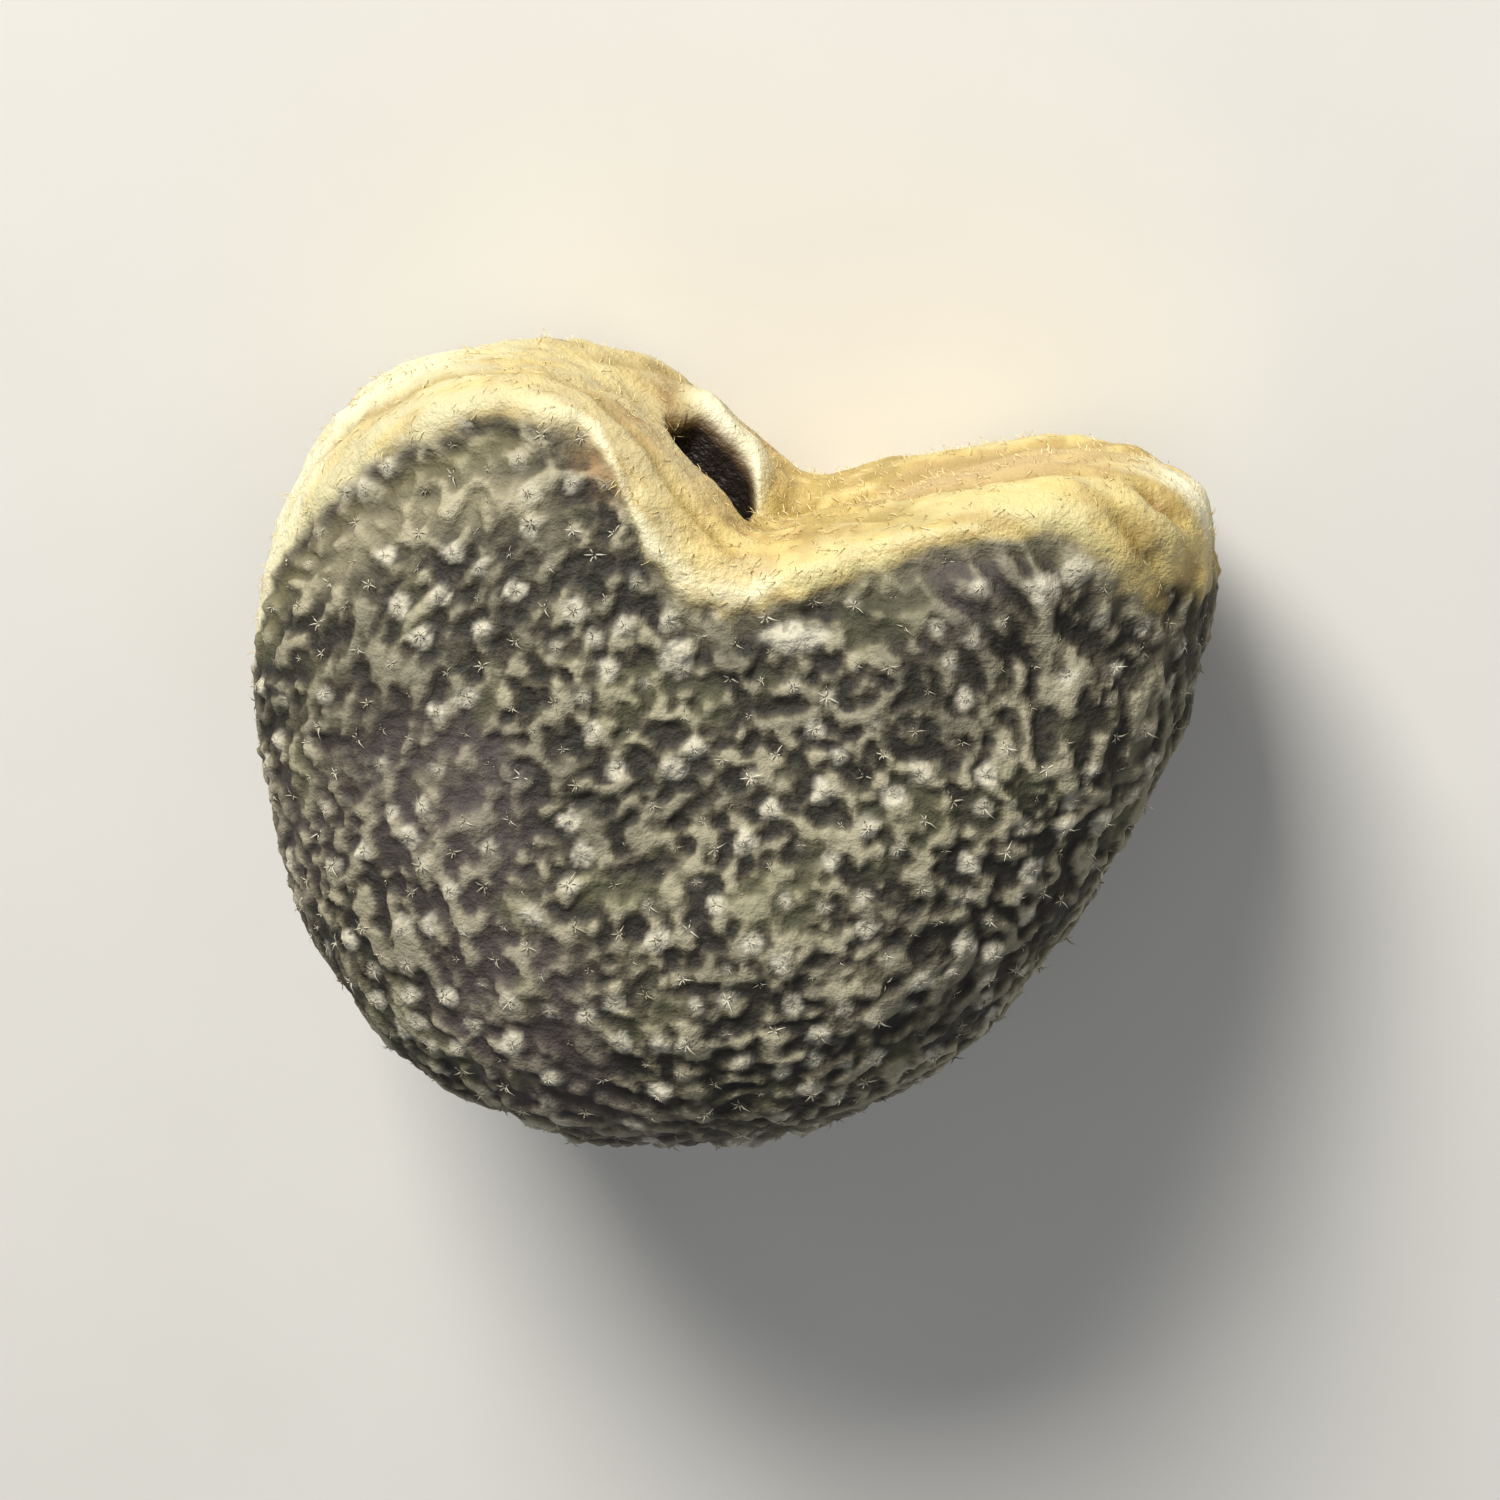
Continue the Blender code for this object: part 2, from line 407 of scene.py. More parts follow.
    def share(self, spot: Spot, edge: float) -> float:
        """How golden a spot is, from 0 on the coat to 1 on the hilum face.

        Args:
            spot: Where it is read.
            edge: The latitude at which the golden face ends.

        Returns:
            The share.
        """
        wobble = sum(waver.at(spot.point) for waver in self.end_wavers)
        along = smooth(*self.start, spot.angle + wobble)
        along *= smooth(*self.end, spot.angle + self.end_gain * wobble)
        return along * smooth(edge + self.edge_blur, edge - self.edge_blur, abs(spot.latitude))

    def slit_share(self, spot: Spot) -> float:
        """How deep in the slit a spot is, from 0 to 1.

        Args:
            spot: Where it is read.

        Returns:
            The share.
        """
        angles, lows, highs = zip(*self.slit_span)
        angle = spot.angle + self.slit_angle_waver.at(spot.point)
        if not angles[0] < angle < angles[-1]:
            return 0.0
        height = spot.height + self.slit_height_waver.at(spot.point)
        low = float(np.interp(angle, angles, lows))
        high = float(np.interp(angle, angles, highs))
        far = smooth(low + self.far_wall[0], low + self.far_wall[1], height)
        return far * smooth(high + self.near_wall[0], high + self.near_wall[1], height)

    def lip_share(self, spot: Spot) -> float:
        """How far a spot is on the pale lip beyond the slit, from 0 to 1.

        Args:
            spot: Where it is read.

        Returns:
            The share.
        """
        angles, heights = zip(*self.lip_line)
        along = smooth(angles[0] - self.lip_fade, angles[0] + self.lip_fade, spot.angle)
        along *= smooth(angles[-1] + self.lip_fade, angles[-1] - self.lip_fade, spot.angle)
        if along == 0.0:
            return 0.0
        crest = float(np.interp(spot.angle, angles, heights))
        return along * bell(spot.height - crest, self.lip_half_width)

    def crease_shade_share(self, spot: Spot) -> float:
        """How much painted shade a crease lays on a spot, from 0 to 1."""
        return max(crease.bottom_shade * crease.share(spot) for crease in self.creases)

    def dip_share(self, spot: Spot) -> float:
        """How deep in one of the dips at the bottom of the notch a spot is, from 0 to 1."""
        point = spot.angle + self.dip_waver.at(spot.point), spot.latitude
        return max(bell(math.dist(point, dip), self.dip_half_width) for dip in self.dips)

    def rust_and_shade_share(self, spot: Spot) -> float:
        """How rusty a spot is, from 0 to 1, with painted shade on the far wall behind the slit."""
        return min(1.0, sum(patch.share(spot) for patch in self.rust_and_shade_patches))

    def peach_share(self, spot: Spot) -> float:
        """How pinkish a spot is, from 0 to 1: the middle of the narrow lobe's flank, and round the slit."""
        return sum(stretch.share(spot) for stretch in self.peaches)

    def ochre_and_shade_share(self, spot: Spot) -> float:
        """How ochre a spot is, from 0 to 1: the bottom of the notch, in patches, and painted shade in its
        dips.
        """
        patch = self.ochre.share(spot) * smooth(*self.ochre_step, self.ochre_waver.at(spot.point))
        return max(patch, self.dip_share(spot))

    def yellow_share(self, spot: Spot) -> float:
        """How bright a yellow a spot has, from 0 to 1: the narrow lobe along its rim, and its end."""
        wobble = self.yellow_waver.at(spot.point)
        return max(stretch.share(spot, wobble) for stretch in self.yellows)

    def streak_share(self, spot: Spot) -> float:
        """How dim the streaks along the golden face are at a spot, from 0 to 1."""
        along, across = spot.angle / self.streak_length, spot.latitude / self.streak_width
        pattern = noise.noise(Vector((along, across, self.streak_level)))
        return smooth(*self.streak_step, pattern + self.streak_waver.at(spot.point))

    def tip_share(self, spot: Spot, half_width: float, sides: Pair) -> float:
        """How near the very end of the narrow lobe a spot is, from 0 to 1."""
        return bell(spot.angle - self.tip_angle, half_width) * smooth(*sides, abs(spot.latitude))

    def cream_share(self, spot: Spot) -> float:
        """How pale a spot is, from 0 to 1: the broad lobe, the lip, and the very end of the narrow lobe.

        Args:
            spot: Where it is read.

        Returns:
            The share.
        """
        shoulder = self.cream_shoulder_most * smooth(*self.cream_shoulder, spot.angle)
        lobe = max(smooth(*self.cream_lobe, spot.angle), shoulder)
        tip = self.tip_share(spot, self.cream_tip, self.cream_tip_sides)
        return min(1.0, lobe + tip + self.lip_share(spot))

    def painted_highlight_share(self, spot: Spot, inward: float) -> float:
        """How much painted highlight a spot has, from 0 to 1.

        Args:
            spot: Where it is read.
            inward: Degrees from the edge of the golden face.

        Returns:
            The share: the rim's crest round the notch, the broad lobe's outer side, the lip and the tip.
        """
        crest = self.crest.share(spot) * bell(inward - self.crest_inward, self.crest_half_width)
        tip = self.tip_share(spot, self.bright_tip, self.bright_tip_sides)
        uneven = self.bright_mean + self.bright_waver.at(spot.point)
        return min(1.0, max(crest, self.outer.share(spot), tip, self.lip_share(spot)) * uneven)

    def ring_share(self, spot: Spot, inward: float) -> float:
        """How far a spot is in the dim groove of the coat along the broad lobe's rim, from 0 to 1."""
        along = smooth(*self.broad_rise, spot.angle) * smooth(*self.ring_fall, spot.angle)
        return along * bell(inward + self.groove_offset, self.groove_half_width)

    def fringe_share(self, spot: Spot, inward: float) -> float:
        """How much of the gold spreads over the coat beside it, from 0 to 1.

        Args:
            spot: Where it is read.
            inward: Degrees from the edge of the golden face.

        Returns:
            The share.
        """
        fringe = self.fringe_most * bell(inward + self.fringe_offset, self.fringe_half_width)
        band = smooth(*self.broad_rise, spot.angle) * smooth(*self.band_fall, spot.angle)
        band *= bell(inward + self.band_offset, self.band_half_width)
        return fringe * smooth(*self.fringe_fall, spot.angle) + band

    def relief(self, spot: Spot, golden: float, edge: float) -> float:
        """Height of the hilum's forms over the plain flank.

        Args:
            spot: Where it is read.
            golden: How golden the spot is.
            edge: The latitude at which the golden face ends.

        Returns:
            The height in millimetres, below 0 in the slit and the creases.
        """
        inward = edge - abs(spot.latitude)
        along = smooth(self.start[0], self.start[1] + self.rim_lag, spot.angle)
        along *= smooth(*self.rim_fall, spot.angle)
        wave = self.rim_mean + self.rim_waver.at(spot.point)
        rim = self.rim_height * wave * bell(inward - self.rim_inward, self.rim_inward)
        groove = self.groove_depth * bell(inward + self.groove_offset, self.groove_half_width)
        course = math.radians(spot.angle) * spot.radius / self.fold_length
        across = spot.height / self.fold_width + self.fold_waver.at(spot.point)
        folds = self.fold_height * (ridged(Vector((course, across, self.fold_level))) - 0.5)
        lumps = sum(waver.at(spot.point) for waver in self.lump_wavers)
        swell = float(np.interp(spot.angle, *zip(*self.swell_line)))
        return (
            swell * smooth(*self.swell_sides, abs(spot.latitude))
            + along * (rim - groove)
            + golden * smooth(*self.fold_onset, inward) * (folds + lumps)
            + self.lip_height * self.lip_share(spot)
            - self.slit_depth * self.slit_share(spot)
            - self.dip_depth * self.dip_share(spot)
            - max(crease.depth * crease.share(spot) for crease in self.creases)
        )


@dataclass
class CoatForms:
    """Fine relief of the grey-brown coat. Sizes in mm."""

    granule_size: float = 0.052
    granule_height: float = 0.022
    granule_level: float = 0.6  # share of the granules at which the coat keeps its height
    granule_step: Pair = (-0.36, 0.46)  # noise of a pit and of a top
    small_granules: Waver = Waver(0.052 / 2.2, 0.25)
    warp_size: float = 0.12
    warp_reach: float = 0.028
    worm_length: float = 0.14
    worm_width: float = 0.046
    worm_radius: float = 1.3  # from the middle, where a worm has its full length
    worm_warp: float = 14.0
    worm_patch: Waver = Waver(0.55, 1.0, (3.0, 1.0, 7.0))
    worm_step: Pair = (-0.12, 0.16)
    worm_onset: Pair = (0.55, 0.8)  # from the middle, where worms set in
    grain_size: float = 0.040
    grain_height: float = 0.006
    grain_level: float = 0.4
    grain_step: Pair = (0.05, 0.65)  # distances from a grain's middle, as shares of the size
    lumps: Waver = Waver(0.25, 0.016)
    tubercle_height: float = 0.016
    tubercle_radius: float = 0.032
    marks: tuple[tuple[float, float, float, float], ...] = (
        (0.242, 0.437, 0.085, 0.036), (-0.100, 0.360, 0.042, 0.040), (0.945, 0.600, 0.036, 0.040),
        (1.043, 0.655, 0.034, 0.032),
    )  # large pale granules of the upper face: place, and half sizes along X and Y
    mark_floor: float = 0.3  # over the middle plane
    mark_warp_size: float = 0.05
    mark_warp_reach: float = 0.012

    def mark_share(self, spot: Spot) -> float:
        """How far a spot is on one of the large pale granules, from 0 to 1.

        Args:
            spot: Where it is read.

        Returns:
            The share.
        """
        if spot.height < self.mark_floor:
            return 0.0
        point = spot.point + noise.noise_vector(spot.point / self.mark_warp_size) * self.mark_warp_reach
        return max(bell(math.hypot((point.x - x) / a, (point.y - y) / b), 1.0) for x, y, a, b in self.marks)

    def granules(self, spot: Spot) -> float:
        """The coat's granules and short worm-like ridges, from 0 in a pit to 1 on a top.

        Args:
            spot: Where it is read.

        Returns:
            The share.
        """
        point = spot.point
        warp = noise.noise_vector(point / self.warp_size) * self.warp_reach
        round_ones = noise.noise((point + warp) / self.granule_size)
        course = math.radians(spot.angle) * self.worm_radius / self.worm_length
        stretched = Vector((course, spot.radius / self.worm_width, spot.height / self.worm_width))
        worms = noise.noise(stretched + warp * self.worm_warp)
        patch = smooth(*self.worm_step, self.worm_patch.at(point)) * smooth(*self.worm_onset, spot.radius)
        plain = round_ones + (worms - round_ones) * patch
        return smooth(*self.granule_step, plain + self.small_granules.at(point))

    def grains(self, point: Vector) -> float:
        """Small grains all over the coat, from 0 between them to 1 on one."""
        nearest = noise.voronoi(point / self.grain_size)[0][0]
        return 1.0 - smooth(*self.grain_step, nearest)

    def relief(self, spot: Spot, granules: float, grains: float, tubercle: float) -> float:
        """Height of the coat over the plain form.

        Args:
            spot: Where it is read.
            granules: The granules and ridges there.
            grains: The small grains there.
            tubercle: The bump under a starry hair there.

        Returns:
            The height in millimetres.
        """
        return (
            self.lumps.at(spot.point)
            + self.granule_height * (granules - self.granule_level)
            + self.grain_height * (grains - self.grain_level)
            + self.tubercle_height * tubercle
        )


class Value:
    """A socket of a shader, with the sums that are done on it."""

    def __init__(self, shader: "Shader", socket: bpy.types.NodeSocket) -> None:
        """Keep the socket and the shader that it belongs to."""
        self.shader = shader
        self.socket = socket

    def maths(self, operation: str, *others: Number) -> "Value":
        """One Math node on this value and others."""
        values = dict(enumerate((self, *others)))
        return self.shader.node("ShaderNodeMath", {"operation": operation}, values)

    def __add__(self, other: Number) -> "Value":
        """Sum."""
        return self.maths("ADD", other)

    def __mul__(self, other: Number) -> "Value":
        """Product."""
        return self.maths("MULTIPLY", other)

    def __sub__(self, other: Number) -> "Value":
        """Difference."""
        return self.maths("SUBTRACT", other)

    def __rsub__(self, other: float) -> "Value":
        """A number less this value."""
        return self.shader.node("ShaderNodeMath", {"operation": "SUBTRACT"}, {0: other, 1: self})

    __radd__ = __add__
    __rmul__ = __mul__

    def step(self, low: float, high: float) -> "Value":
        """Rise smoothly from 0 at low to 1 at high.

        Args:
            low: Where the rise starts.
            high: Where it ends; below low for a fall.

        Returns:
            The share.
        """
        settings = {"interpolation_type": "SMOOTHSTEP"}
        if low < high:
            return self.shader.node("ShaderNodeMapRange", settings, {"Value": self, 1: low, 2: high})
        return 1 - self.shader.node("ShaderNodeMapRange", settings, {"Value": self, 1: high, 2: low})


class Shader:
    """A material's node tree, with one method that adds any node."""

    def __init__(self, name: str) -> None:
        """Start a material with a Principled shader."""
        self.material = bpy.data.materials.new(name)
        self.material.use_nodes = True
        self.tree = self.material.node_tree
        self.surface = self.tree.nodes["Principled BSDF"]

    def node(
        self, kind: str, settings: dict | None = None, values: dict | None = None, output: int | str = 0
    ) -> Value:
        """Add a node.

        Args:
            kind: The node's type.
            settings: Its properties, set first; "stops" holds a colour ramp's places and colours.
            values: Numbers, colours or values for its input sockets.
            output: Which of its output sockets is used.

        Returns:
            The output, as a value.
        """
        made = self.tree.nodes.new(kind)
        for name, setting in (settings or {}).items():
            if name == "stops":
                ramp = made.color_ramp.elements
                while len(ramp) < len(setting):
                    ramp.new(0.5)
                for element, (place, shade) in zip(ramp, setting):
                    element.position, element.color = place, shade
            else:
                setattr(made, name, setting)
        self.fill(made, values or {})
        return Value(self, made.outputs[output])

    def fill(self, made: bpy.types.Node, values: dict) -> None:
        """Set or link a node's input sockets.

        Args:
            made: The node.
            values: Numbers, colours or values by socket.
        """
        for name, value in values.items():
            socket = made.inputs[name]
            if isinstance(value, Value):
                self.tree.links.new(value.socket, socket)
            else:
                socket.default_value = value

    def millimetres(self) -> Value:
        """Object coordinates in millimetres."""
        place = self.node("ShaderNodeTexCoord", output="Object")
        scale = {"operation": "SCALE"}
        return self.node("ShaderNodeVectorMath", scale, {0: place, "Scale": 1 / MM})

    def grain(self, place: Value, size: float, detail: float = 3.0, rough: float = 0.55) -> Value:
        """Noise whose lumps are about a size across, in millimetres."""
        values = {"Vector": place, "Scale": 1 / size, "Detail": detail, "Roughness": rough}
        return self.node("ShaderNodeTexNoise", {"noise_dimensions": "3D"}, values)

    def attribute(self, name: str) -> Value:
        """A number kept on the mesh."""
        return self.node("ShaderNodeAttribute", {"attribute_name": name}, output="Fac")

    def blend(self, share: Number, first: Union[Colour, Value], second: Union[Colour, Value]) -> Value:
        """Mix two colours.

        Args:
            share: 0 gives the first colour, 1 the second.
            first: A colour.
            second: A colour.

        Returns:
            The mixed colour.
        """
        settings = {"data_type": "RGBA"}
        return self.node("ShaderNodeMix", settings, {0: share, 6: first, 7: second}, output=2)

    def bump(self, height: Value, distance: float, strength: float, below: Value | None = None) -> Value:
        """Add a bump.

        Args:
            height: What it follows, from 0 to 1.
            distance: Its full height in millimetres.
            strength: How strong it is, from 0 to 1.
            below: A bump that it lies on.

        Returns:
            The normal.
        """
        values = {"Height": height, "Distance": distance * MM, "Strength": strength}
        if below:
            values["Normal"] = below
        return self.node("ShaderNodeBump", None, values)

    def finish(self, **values: Union[Number, Colour]) -> bpy.types.Material:
        """Set the shader's sockets, named with _ for a space, and return the material."""
        self.fill(self.surface, {name.replace("_", " "): value for name, value in values.items()})
        return self.material


@dataclass(frozen=True)
class Mottle:
    """A colour laid over the coat in patches, where noise goes from the first to the second level."""

    size: float  # mm
    detail: float
    levels: Pair
    most: float
    shade: Colour
    tops_only: bool = False  # on the granules' tops alone


@dataclass(frozen=True)
class Tint:
    """A colour laid over the ones below as far as an attribute of the mesh says."""

    attribute: str
    most: float
    shade: Colour

    def over(self, shader: Shader, shade: Value) -> Value:
        """Lay the tint over a colour."""
        return shader.blend(shader.attribute(self.attribute) * self.most, shade, self.shade)


@dataclass(frozen=True)
class CoatFinish:
    """Dull grey-brown coat that turns golden on the hilum face, with painted shade and painted highlights.
    """

    # deep: painted shade in the pits, and the coat's dark patches
    deep: Colour = colour(34, 30, 21)
    body: Colour = colour(92, 86, 67)
    top: Colour = colour(166, 159, 134)
    grain_gain: float = 0.15  # what the small grains and the fine noise add to the granules' height
    fine_gain: float = 0.9
    # the lowest heights, in the pits, keep the deep colour as painted shade
    body_step: Pair = (0.05, 0.65)  # heights at which the coat has left one colour for the next
    top_step: Pair = (0.50, 1.10)
    light_step: Pair = (0.30, 1.0)
    mottles: tuple[Mottle, ...] = (
        Mottle(0.27, 1.0, (0.56, 0.36), 0.45, deep),
        Mottle(0.50, 0.0, (0.47, 0.30), 0.40, deep),
        Mottle(0.50, 0.0, (0.54, 0.70), 0.45, top, True),
        Mottle(0.90, 0.0, (0.48, 0.62), 0.22, colour(118, 104, 106)),  # plum
        Mottle(0.27, 1.0, (0.55, 0.70), 0.35, colour(112, 112, 80)),  # olive
    )
    speck: Colour = colour(196, 190, 170)
    speck_step: Pair = (0.34, 0.56)  # fine noise that dulls half of a speck's colour
    skin_tints: tuple[Tint, ...] = (
        Tint("ring", 0.6, colour(112, 104, 72)),
        Tint("fringe", 0.5, colour(172, 163, 132)),
    )
    gold: Colour = colour(204, 182, 116)
    gold_dim: Colour = colour(175, 150, 92)
    gold_size: float = 0.10
    gold_step: Pair = (0.36, 0.62)
    ochre: Colour = colour(136, 112, 44)
    gold_tints: tuple[Tint, ...] = (
        # painted highlight on the raised forms, and the narrow lobe's own yellow
        Tint("raised", 0.9, colour(201, 190, 137)),
        Tint("peach", 0.75, colour(180, 155, 112)),
        Tint("cream", 0.85, colour(193, 187, 149)),
        # painted highlight on the rim's crest, the broad lobe's outer side, the lip and the narrow lobe's
        # tip
        Tint("bright", 0.9, colour(236, 231, 202)),
        # ochre patches at the bottom of the notch, and painted shade in its dips
        Tint("ochre", 0.8, ochre),
        # painted shade at the bottoms of the creases
        Tint("crevice", 0.9, ochre),
    )
    # rusty brown, which also paints shade on the far wall behind the slit
    rust: Colour = colour(142, 108, 64)
    rust_and_shade_most: float = 0.8
    rust_and_shade_step: Pair = (0.25, 0.60)
    # painted shade in the slit: brown at its edges, nearly black deep inside
    slit_edge_shade: Colour = colour(104, 76, 36)
    slit_edge_most: float = 0.9
    slit_edge_step: Pair = (0.0, 0.30)
    slit: Colour = colour(24, 13, 5)
    slit_step: Pair = (0.10, 0.45)
    roughness: float = 0.66
    roughness_spread: float = 0.18
    golden_gloss: float = 0.22  # how much less rough the golden face is
    fine_size: float = 0.040
    pore_size: float = 0.024
    pore_depth: float = 0.012
    pore_strength: float = 0.8

    def make(self) -> bpy.types.Material:
        """Build the material.

        Returns:
            The coat's material.
        """
        shader = Shader("grey_brown_coat")
        place = shader.millimetres()
        fine = shader.grain(place, self.fine_size, 2.0, 0.65)
        golden = shader.attribute("golden")
        shade = shader.blend(golden, self.skin(shader, place, fine), self.gilt(shader, place))

        # rust, and painted shade on the far wall behind the slit
        rust = shader.attribute("rust") * fine.step(*self.rust_and_shade_step) * self.rust_and_shade_most
        shade = shader.blend(rust, shade, self.rust)
        # painted shade in the slit, brown at its edges and nearly black deep inside
        slit = shader.attribute("slit")
        shade = shader.blend(slit.step(*self.slit_edge_step) * self.slit_edge_most, shade, self.slit_edge_shade)
        shade = shader.blend(slit.step(*self.slit_step), shade, self.slit)

        uneven = shader.grain(place, self.mottles[0].size, self.mottles[0].detail) * self.roughness_spread
        pores = shader.grain(place, self.pore_size, 2.0, 0.7)
        return shader.finish(
            Base_Color=shade,
            Roughness=self.roughness + uneven - golden * self.golden_gloss,
            Normal=shader.bump(pores, self.pore_depth, self.pore_strength),
        )

    def skin(self, shader: Shader, place: Value, fine: Value) -> Value:
        """Colour of the grey-brown coat.

        Args:
            shader: The material that it belongs to.
            place: Coordinates in millimetres.
            fine: The fine noise.

        Returns:
            The colour.
        """
        grains = shader.attribute("grains") * self.grain_gain
        height = shader.attribute("granules") + grains + (fine - 0.5) * self.fine_gain
        # Painted shade: the pits take the deep colour. The granules' tops take the pale top colour.
        shade = shader.blend(height.step(*self.body_step), self.deep, self.body)
        shade = shader.blend(height.step(*self.top_step), shade, self.top)
        for mottle in self.mottles:
            share = shader.grain(place, mottle.size, mottle.detail).step(*mottle.levels) * mottle.most
            if mottle.tops_only:
                share = share * height.step(*self.light_step)
            shade = shader.blend(share, shade, mottle.shade)
        speck = shader.attribute("speck") * (fine.step(*self.speck_step) * 0.5 + 0.5)
        shade = shader.blend(speck, shade, self.speck)
        for tint in self.skin_tints:
            shade = tint.over(shader, shade)
        return shade

    def gilt(self, shader: Shader, place: Value) -> Value:
        """Colour of the golden hilum face, with its painted highlights and painted shade.

        Args:
            shader: The material that it belongs to.
            place: Coordinates in millimetres.

        Returns:
            The colour.
        """
        streak = shader.grain(place, self.gold_size, 1.0).step(*self.gold_step)
        shade = shader.blend(streak, self.gold_dim, self.gold)
        for tint in self.gold_tints:
            shade = tint.over(shader, shade)
        return shade


@dataclass(frozen=True)
class HairFinish:
    """Pale or golden hair, a little uneven from hair to hair and from place to place."""

    name: str
    dark: Colour
    light: Colour
    hair_share: float = 0.7
    place_share: float = 0.3
    place_size: float = 0.12
    roughness: float = 0.45

    def make(self) -> bpy.types.Material:
        """Build the material.

        Returns:
            The hairs' material.
        """
        shader = Shader(self.name)
        uneven = shader.grain(shader.millimetres(), self.place_size, 1.0) * self.place_share
        tone = shader.attribute("tone") * self.hair_share + uneven
        return shader.finish(Base_Color=shader.blend(tone, self.dark, self.light), Roughness=self.roughness)


class Hair(Enum):
    """The kinds of hair on the seed."""

    STAR = "star"
    DOWN = "down"


@dataclass(frozen=True)
class Stand:
    """Where a hair stands: its foot, the way out of the coat, the way that it leans, and its size."""

    foot: Vector
    outward: Vector
    along: Vector
    size: float
    tone: float


@dataclass
class HairMaker:
    """Models one hair of each kind by hand, and sets copies of it on the seed. Sizes in mm."""

    arms: int = 6
    arm_length: float = 1.0  # hairs are modelled a millimetre long, and sized as they are set
    arm_radius: float = 0.075
    arm_bends: tuple[float, ...] = (52.0, 84.0)  # degrees that each length of an arm leans over
    arm_step: float = 9.0  # degrees that each of three arms leans more than the one before
    arm_losses: Pair = (0.3, 0.15)  # share of its length that each of two, and each of three, loses
    down_radius: float = 0.045
    down_leans: tuple[float, ...] = (45.0, 72.0, 92.0)
    taper: float = 0.85
    point: float = 0.12
    lowest: float = 0.002  # that a copy's points lie over the ground

    def model(self, kind: Hair) -> tuple[np.ndarray, list[tuple[int, ...]]]:
        """Model one hair.

        Args:
            kind: Which hair.

        Returns:
            Its points in millimetres, with its foot at the origin, and its faces.
        """
        deselect_all()
        if kind is Hair.STAR:
            self.add_star()
        else:
            leans = [math.radians(lean) for lean in self.down_leans]
            self.add_stem(self.down_radius, self.arm_length, leans)
        bpy.ops.object.mode_set(mode="OBJECT")
        made = bpy.context.object
        bpy.ops.object.transform_apply(location=True, rotation=True, scale=True)
        points = np.array([tuple(vertex.co / MM) for vertex in made.data.vertices])
        faces = [tuple(face.vertices) for face in made.data.polygons]
        bpy.data.objects.remove(made, do_unlink=True)
        return points, faces

    def add_star(self) -> None:
        """Add a star: slim three-sided arms that rise from one foot, spread and bend down again."""
        for arm in range(self.arms):
            loss = self.arm_losses[0] * (arm % 2) + self.arm_losses[1] * (arm % 3)
            length = self.arm_length * (1.0 - loss)
            bends = [math.radians(bend + self.arm_step * (arm % 3)) for bend in self.arm_bends]
            self.add_stem(self.arm_radius, length, bends)
            bpy.ops.mesh.select_all(action="SELECT")
            turn = arm * math.tau / self.arms
            bpy.ops.transform.rotate(value=turn, orient_axis="Z", center_override=(0, 0, 0))
            bpy.ops.object.mode_set(mode="OBJECT")
            if arm:
                star.select_set(True)
                bpy.context.view_layer.objects.active = star
                bpy.ops.object.join()
            star = bpy.context.object

    def add_stem(self, radius: float, length: float, leans: Sequence[float]) -> None:
        """Add a slim three-sided stem that ends in a point, and stay in edit mode.

        Args:
            radius: At its foot, in millimetres.
            length: Along its bends, in millimetres.
            leans: How far each of its lengths leans over towards +X, in radians.
        """
        bpy.ops.mesh.primitive_circle_add(
            vertices=3, radius=radius * MM, fill_type="NGON", enter_editmode=True
        )
        bpy.ops.mesh.select_all(action="SELECT")
        for index, lean in enumerate(leans):
            move = Vector((math.sin(lean), 0.0, math.cos(lean))) * length * MM / len(leans)
            bpy.ops.mesh.extrude_region_move(TRANSFORM_OT_translate={"value": move})
            thin = self.taper if index < len(leans) - 1 else self.point
            bpy.ops.transform.resize(value=(thin, thin, thin))

    def set_out(self, name: str, kind: Hair, stands: Sequence[Stand]) -> bpy.types.Object:
        """Set copies of a hair on the seed, as one piece.

        Args:
            name: The piece's name.
            kind: Which hair.
            stands: Where each copy stands.

        Returns:
            The piece.
        """
        points, faces = self.model(kind)
        placed, sides, tones = [], [], []
        for index, stand in enumerate(stands):
            across = stand.outward.cross(stand.along).normalized()
            along = across.cross(stand.outward)
            turn = np.array((along, across, stand.outward))
            copy = points * stand.size @ turn + np.array(stand.foot)
            copy[:, 2] = np.maximum(copy[:, 2], self.lowest)
            placed.append(copy)
            sides += [tuple(corner + index * len(points) for corner in face) for face in faces]
            tones += [stand.tone] * len(points)
        mesh = bpy.data.meshes.new(name)
        mesh.from_pydata((np.concatenate(placed) * MM).tolist(), [], sides)
        mesh.shade_smooth()
        write_attribute(mesh, "tone", tones)
        piece = bpy.data.objects.new(name, mesh)
        bpy.context.scene.collection.objects.link(piece)
        return piece


